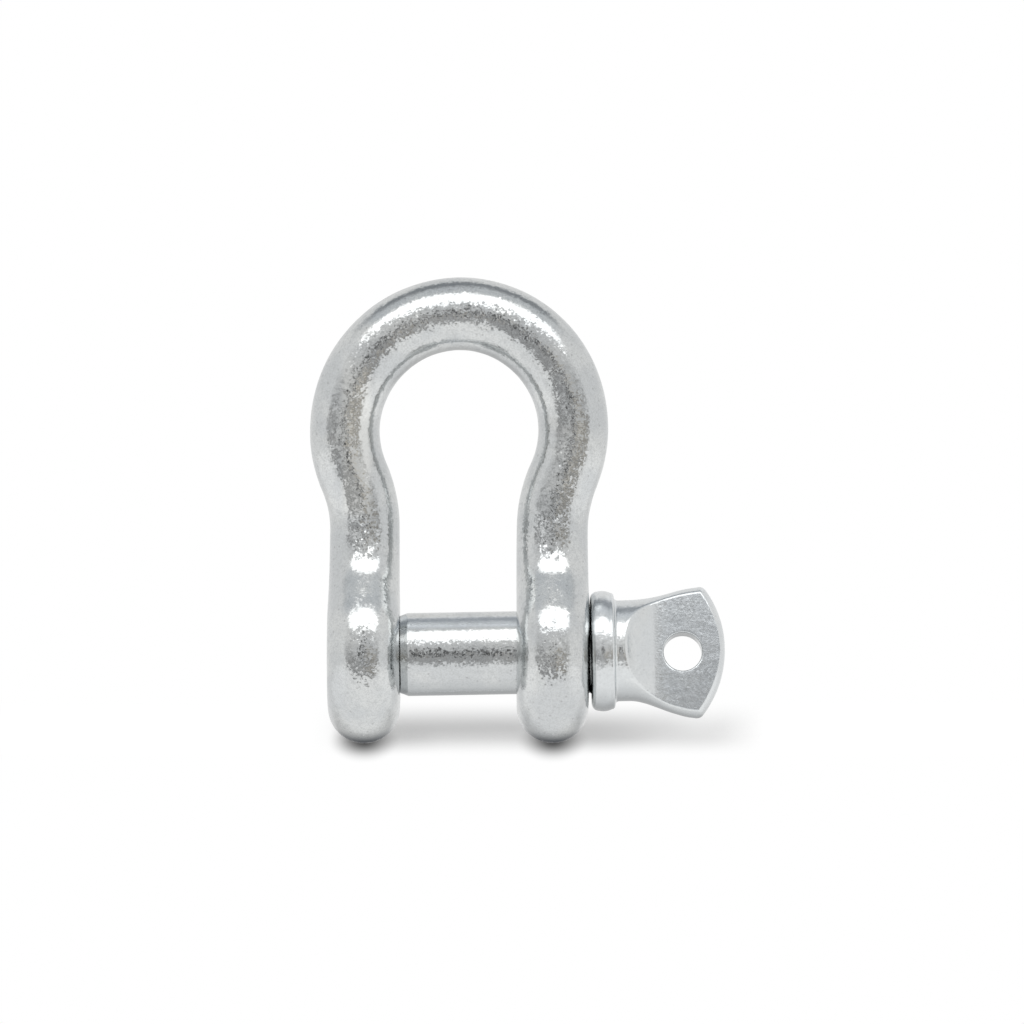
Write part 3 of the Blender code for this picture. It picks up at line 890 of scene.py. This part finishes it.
def zinc_material(name, grain_depth, facet_tilt, roughness, seat_at=None):
    """Material of one piece. The pin gives the place of its collar's seat, and gets its own tones."""
    material = bpy.data.materials.new(name)
    material.use_nodes = True
    zinc = Zinc(material.node_tree)
    tone = zinc.tone()
    rough = zinc.rise(zinc.mottle, *ROUGH_RANGE, *roughness)
    height = zinc.relief()
    if seat_at is not None:
        own = PinZinc(zinc, seat_at)
        tone = own.tone(tone)
        rough = own.rough(rough)
        height = zinc.plus(height, own.strokes())
    shader = material.node_tree.nodes["Principled BSDF"]
    zinc.plug(shader.inputs["Base Color"], tone)
    zinc.plug(shader.inputs["Specular Tint"], zinc.edge_tone())
    zinc.plug(shader.inputs["Metallic"], 1.0)
    zinc.plug(shader.inputs["Roughness"], rough)
    zinc.plug(shader.inputs["Normal"], zinc.normal(height, grain_depth, facet_tilt))
    return material


def finish_piece(item, place, body, node, material):
    item.data.transform(place)
    shade(item)
    item.data.materials.append(material)
    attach(item, body)
    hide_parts(node)


# Camera

def camera_axes():
    """Right, up and back of the camera in the row frame."""
    rise = Matrix.Rotation(-CAMERA_RISE, 3, "X")
    turn = LYING.to_3x3() @ rise @ Matrix.Rotation(CAMERA_ROLL, 3, "Z")
    return turn.col[0].copy(), turn.col[1].copy(), turn.col[2].copy()


def camera_place():
    """Place of the camera, and its axes."""
    right, up, back = camera_axes()
    column = (PHOTO_SIZE / 2 - ORIGIN_COLUMN) * PHOTO_SCALE
    row = (ORIGIN_ROW - PHOTO_SIZE / 2) * PHOTO_SCALE
    return LYING.translation + back * CAMERA_DISTANCE + right * column + up * row, right, up, back


def build_camera():
    place, right, up, back = camera_place()
    data = bpy.data.cameras.new("photo_camera")
    camera = bpy.data.objects.new("photo_camera", data)
    bpy.context.scene.collection.objects.link(camera)
    turn = Matrix((right, up, back)).transposed()
    camera.matrix_world = Matrix.Translation(place) @ turn.to_4x4()
    data.sensor_width = SENSOR
    data.lens = SENSOR * CAMERA_DISTANCE / (PHOTO_SIZE * PHOTO_SCALE)
    data.clip_start = CLIP_START
    bpy.context.scene.camera = camera


def grey(level, tint=(1.0, 1.0, 1.0)):
    return (level * tint[0], level * tint[1], level * tint[2], 1)


# Walls of the studio. Ranges are of a direction's parts: across and above as the camera sees them,
# and ahead towards the camera, where a face square to it mirrors
WALL_LEVEL = 0.84
LOW_LEVEL = 0.95
LOW_ABOVE = (-0.15, -0.6)
BEHIND = (-0.45, -0.85)
CORNER_LEVEL = 0.60
CORNER_SPREAD = 0.5
CORNER_AHEAD = (-0.25, -0.9)
CORNER_LOWNESS = (0.02, -0.2)
BESIDE_LEVEL = 1.0
BESIDE_ACROSS = (0.70, 0.86)
BESIDE_ABOVE = (-0.62, -0.48, -0.26, -0.10)

# Dim place round the camera. Ranges are of the slopes, x across and y above, from the way ahead
NEAREST = 0.02
DIM_AHEAD = (0.1, 0.2)
DIM_NARROWING = (1.32, -1.0)         # narrower at the right than at the left
DIM_REACH = (1.9, 1.5)
DIM_SAG = 0.18
DIM_LOW = (-0.58, -0.44)
DIM_LEVELS = (0.41, 0.63)
DIM_SIDE = (0.05, 0.19)
FAR_LEVELS = (0.38, 0.48)
FAR_RISE = (-0.06, 0.06)
FAR_SIDE = (0.5, 0.85)
UNDER_LEVELS = (0.46, 0.33)
UNDER_SIDE = (0.08, 0.25)
UNDER_FALL = (-0.03, -0.15)
OVER_LEVEL = 0.72
OVER_RISE = (0.12, 0.40)
BROWN_TINT = (1.05, 1.0, 0.92)
BROWN_ACROSS = (0.05, 0.25, 1.0, 1.4)
BROWN_DROP = 0.13
BROWN_HEIGHT = (0.22, 0.10)
SPOT_LEVEL = 0.03
SPOT_SIDE = (0.12, 0.05)
SPOT_HEIGHT = (-0.09, -0.03, 0.14, 0.22)

# Dark ceiling beyond the lamp
CEILING_ABOVE = (0.60, 0.82)
SHADED_LEVEL = 0.67
SHADED_TINT = (0.97, 1.0, 1.03)
SHADED_AHEAD = (-0.60, -0.40, 0.18, 0.34)
DARK_LEVEL = 0.29
DARK_TINT = (0.95, 1.0, 1.06)
DARK_AHEAD = (-0.60, -0.40, -0.28, 0.02)

# Panel that the metal mirrors
PANEL_LIFT = radians(52.5)
PANEL_HEIGHT = 0.30
PANEL_WIDTH = 0.93
PANEL_SHIFT = 0.05
PANEL_ROUNDING = 3.0
PANEL_EDGE = (1.2, 0.8)
PANEL_LEVEL = 1.85


class Studio(Nodes):
    """Surroundings that the metal mirrors, by the direction of sight to the camera's axes."""

    def __init__(self, tree):
        super().__init__(tree)
        self.view = self.add("ShaderNodeTexCoord").outputs["Generated"]
        self.right, self.up, self.back = camera_axes()
        self.across = self.dot(self.view, self.right)
        self.above = self.dot(self.view, self.up)
        self.ahead = self.dot(self.view, self.back)
        near = self.math("MAXIMUM", self.ahead, NEAREST)
        self.x = self.over(self.across, near)
        self.y = self.over(self.above, near)
        self.side = self.size_of(self.x)

    def walls(self):
        """White walls: paler low down, greyer behind the shackle, and most in the low corner there."""
        tone = self.blend(self.rise(self.above, *LOW_ABOVE), grey(WALL_LEVEL), grey(LOW_LEVEL))
        tone = self.blend(self.rise(self.ahead, *BEHIND), tone, grey(WALL_LEVEL))
        lowness = self.plus(self.above, self.times(self.size_of(self.across), CORNER_SPREAD))
        corner = self.times(self.rise(self.ahead, *CORNER_AHEAD), self.rise(lowness, *CORNER_LOWNESS))
        tone = self.blend(corner, tone, grey(CORNER_LEVEL))
        beside = self.rise(self.size_of(self.across), *BESIDE_ACROSS)
        beside = self.times(beside, self.band(self.above, BESIDE_ABOVE))
        return self.blend(beside, tone, grey(BESIDE_LEVEL))

    def between(self, levels, share):
        return self.blend(share, grey(levels[0]), grey(levels[1]))

    def dim_tone(self):
        """Tone of the dim place: darker in the middle, at its sides and below, with a brown touch."""
        far = self.between(FAR_LEVELS, self.rise(self.y, *FAR_RISE))
        under = self.between(UNDER_LEVELS, self.rise(self.side, *UNDER_SIDE))
        tone = self.between(DIM_LEVELS, self.rise(self.side, *DIM_SIDE))
        tone = self.blend(self.rise(self.side, *FAR_SIDE), tone, far)
        tone = self.blend(self.rise(self.y, *UNDER_FALL), tone, under)
        tone = self.blend(self.rise(self.y, *OVER_RISE), tone, grey(OVER_LEVEL))
        off_brown = self.size_of(self.plus(self.y, BROWN_DROP))
        brown = self.times(self.band(self.x, BROWN_ACROSS), self.rise(off_brown, *BROWN_HEIGHT))
        return self.vector("MULTIPLY", tone, self.blend(brown, grey(1.0), grey(1.0, BROWN_TINT)))

    def dimmed(self, tone):
        """Tone with the dim place round the camera, and a dark spot in its middle."""
        right, left = DIM_NARROWING
        reach = self.math("MAXIMUM", self.times(self.x, right), self.times(self.x, left))
        low_end = self.math("SUBTRACT", self.y, self.times(self.side, self.side, DIM_SAG))
        ahead = self.rise(self.ahead, *DIM_AHEAD)
        dim = self.times(self.rise(reach, *DIM_REACH), self.rise(low_end, *DIM_LOW), ahead)
        tone = self.blend(dim, tone, self.dim_tone())
        spot = self.times(self.rise(self.side, *SPOT_SIDE), self.band(self.y, SPOT_HEIGHT), ahead)
        return self.blend(spot, tone, grey(SPOT_LEVEL))

    def ceiled(self, tone):
        """Tone with the dark ceiling."""
        high = self.rise(self.above, *CEILING_ABOVE)
        shaded = self.times(self.band(self.ahead, SHADED_AHEAD), high)
        tone = self.blend(shaded, tone, grey(SHADED_LEVEL, SHADED_TINT))
        dark = self.times(self.band(self.ahead, DARK_AHEAD), high)
        return self.blend(dark, tone, grey(DARK_LEVEL, DARK_TINT))

    def lit(self, tone):
        """Tone with the lamp, a flat panel that faces the shackle."""
        facing = self.back * cos(PANEL_LIFT) + self.up * sin(PANEL_LIFT)
        panel_up = self.up * cos(PANEL_LIFT) - self.back * sin(PANEL_LIFT)
        toward = self.math("MAXIMUM", self.dot(self.view, facing), NEAREST)
        panel_y = self.over(self.over(self.dot(self.view, panel_up), toward), PANEL_HEIGHT)
        panel_x = self.over(self.over(self.across, toward), PANEL_WIDTH)
        panel_x = self.math("SUBTRACT", panel_x, PANEL_SHIFT)
        rounded = self.plus(self.math("POWER", self.size_of(panel_y), PANEL_ROUNDING),
                            self.math("POWER", self.size_of(panel_x), PANEL_ROUNDING))
        return self.blend(self.rise(rounded, *PANEL_EDGE), tone, grey(PANEL_LEVEL))


def build_world():
    """Studio for the reflections, and plain white for what the camera sees straight."""
    world = bpy.data.worlds.new("studio")
    bpy.context.scene.world = world
    world.use_nodes = True
    nodes = Studio(world.node_tree)
    tone = nodes.lit(nodes.ceiled(nodes.dimmed(nodes.walls())))
    straight = nodes.add("ShaderNodeBackground", {"Color": grey(1.0), "Strength": 1.0})
    studio = nodes.add("ShaderNodeBackground", {"Color": tone, "Strength": 1.0})
    seen = nodes.add("ShaderNodeLightPath").outputs["Is Camera Ray"]
    both = nodes.add("ShaderNodeMixShader", {0: seen, 1: studio.outputs[0], 2: straight.outputs[0]})
    output = world.node_tree.nodes["World Output"]
    nodes.plug(output.inputs["Surface"], both.outputs[0])


# Floor and lamp
FLOOR_REACH = 3.0
FLOOR_DROP = 0.1 * MM
GROUND_LEVEL = 0.75
SHADOW_ROWS = (700, 731)             # where the floor's shadow grows in the photo
SHADOW_END_ROWS = (757, 736)         # and where it is gone and still full
SHADOW_LEFT = (322, 350)             # columns where it starts, at the left
SHADOW_LEFT_SHARES = (0.2, 1.0)
SHADOW_RIGHT = (740, 570)            # and where it is palest and full, under the pin's head
SHADOW_RIGHT_SHARES = (0.5, 1.0)
SHADOW_SHARE = 0.87
# Painted shadows on the floor under the ears' ends
PAINTED_EAR_SHADOWS = ((364, 741), (553, 741))  # darkest places, under the ears
PAINTED_EAR_SHADOW_SIZE = (38, 24)
PAINTED_EAR_SHADOW_LIGHT = 0.09
LAMP_LIFT = radians(58)
LAMP_AZIMUTH = radians(-14)
LAMP_DISTANCE = 0.65
LAMP_SIZE = (0.26, 0.20)
LAMP_POWER = 4.0


def on_floor(column, row):
    """Point of the floor that a pixel of the photo shows."""
    place, right, up, back = camera_place()
    ray = right * (column - PHOTO_SIZE / 2) * PHOTO_SCALE + up * (PHOTO_SIZE / 2 - row) * PHOTO_SCALE
    ray -= back * CAMERA_DISTANCE
    return place - ray * place.z / ray.z


def shadow_share(nodes, place):
    """Share of the shadow strip at the ears' side."""
    height = nodes.dot(place, (0, 1, 0))
    width = nodes.dot(place, (1, 0, 0))
    grow = nodes.rise(height, *[on_floor(ORIGIN_COLUMN, row).y for row in SHADOW_ROWS])
    fade = nodes.rise(height, *[on_floor(ORIGIN_COLUMN, row).y for row in SHADOW_END_ROWS])
    left = [on_floor(column, ORIGIN_ROW).x for column in SHADOW_LEFT]
    right = [on_floor(column, ORIGIN_ROW).x for column in SHADOW_RIGHT]
    start = nodes.rise(width, *left, *SHADOW_LEFT_SHARES)
    end = nodes.rise(width, *right, *SHADOW_RIGHT_SHARES)
    return nodes.times(grow, fade, SHADOW_SHARE, nodes.times(start, end))


def painted_ear_shadow_light(nodes, place):
    """Light that the two painted shadows under the ears' ends leave."""
    light = 1.0
    reach = [size * PHOTO_SCALE for size in PAINTED_EAR_SHADOW_SIZE]
    for column, row in PAINTED_EAR_SHADOWS:
        offset = nodes.vector("SUBTRACT", place, on_floor(column, row))
        offset = nodes.vector("DIVIDE", offset, (*reach, 1.0))
        away = nodes.add("ShaderNodeVectorMath", {0: offset}, operation="LENGTH").outputs["Value"]
        light = nodes.times(light, nodes.rise(away, 0.0, 1.0, PAINTED_EAR_SHADOW_LIGHT, 1.0))
    return light


def floor_material():
    """Glow that keeps the floor white, and its own colour, which takes the soft shadow; and two painted
    shadows under the ears' ends.
    """
    material = bpy.data.materials.new("floor")
    material.use_nodes = True
    nodes = Nodes(material.node_tree)
    place = nodes.add("ShaderNodeTexCoord").outputs["Object"]
    share = shadow_share(nodes, place)
    light = painted_ear_shadow_light(nodes, place)
    ground = nodes.add("ShaderNodeBsdfDiffuse", {"Color": grey(GROUND_LEVEL)})
    glow = nodes.add("ShaderNodeEmission", {"Color": grey(1.0), "Strength": 1.0})
    both = nodes.add("ShaderNodeMixShader", {0: share, 1: glow.outputs[0], 2: ground.outputs[0]})
    # Painted shadows: black under the ears' ends
    black = nodes.add("ShaderNodeEmission", {"Strength": 0.0})
    both = nodes.add("ShaderNodeMixShader", {0: light, 1: black.outputs[0], 2: both.outputs[0]})
    output = material.node_tree.nodes["Material Output"]
    nodes.plug(output.inputs["Surface"], both.outputs[0])
    return material


def build_floor():
    mesh = bpy.data.meshes.new("floor")
    corners = [(x * FLOOR_REACH, y * FLOOR_REACH, 0) for x, y in ((-1, -1), (1, -1), (1, 1), (-1, 1))]
    mesh.from_pydata(corners, [], [(0, 1, 2, 3)])
    floor = bpy.data.objects.new("floor", mesh)
    floor.location.z = -FLOOR_DROP
    bpy.context.scene.collection.objects.link(floor)
    floor.visible_glossy = False
    mesh.materials.append(floor_material())


def build_lamp():
    """Soft lamp above and beyond the crown, for the shadow. The world gives the reflections."""
    data = bpy.data.lights.new("overhead", "AREA")
    data.shape = "RECTANGLE"
    data.size, data.size_y = LAMP_SIZE
    data.energy = LAMP_POWER
    lamp = bpy.data.objects.new("overhead", data)
    bpy.context.scene.collection.objects.link(lamp)
    level = cos(LAMP_LIFT)
    aim = Vector((sin(LAMP_AZIMUTH) * level, cos(LAMP_AZIMUTH) * level, sin(LAMP_LIFT)))
    lamp.location = aim * LAMP_DISTANCE
    lamp.rotation_euler = aim.to_track_quat("Z", "Y").to_euler()
    lamp.visible_glossy = False


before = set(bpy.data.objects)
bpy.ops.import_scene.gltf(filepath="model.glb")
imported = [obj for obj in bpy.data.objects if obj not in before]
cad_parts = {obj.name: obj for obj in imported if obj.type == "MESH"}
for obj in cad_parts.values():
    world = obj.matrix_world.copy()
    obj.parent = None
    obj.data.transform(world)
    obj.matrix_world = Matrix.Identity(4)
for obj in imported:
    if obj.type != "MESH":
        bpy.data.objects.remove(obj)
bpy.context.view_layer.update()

bow = build_bow()
roughen(bow, bow_amount, BOW_SEED)
bow_zinc = zinc_material("zinc_bow", grain_depth=0.13 * MM, facet_tilt=0.185, roughness=(0.11, 0.20))
finish_piece(bow, LYING, "bow", "bow", bow_zinc)

pin = build_pin()
roughen(pin, pin_amount, PIN_SEED)
pin_zinc = zinc_material("zinc_pin", grain_depth=0.10 * MM, facet_tilt=0.11, roughness=(0.11, 0.19),
                         seat_at=lying_place.x + collar_seat)
finish_piece(pin, LYING @ PIN_PLACE, "screw_pin", "screw_pin", pin_zinc)

build_floor()
build_world()
build_lamp()
build_camera()
bpy.context.scene.view_settings.view_transform = "Standard"
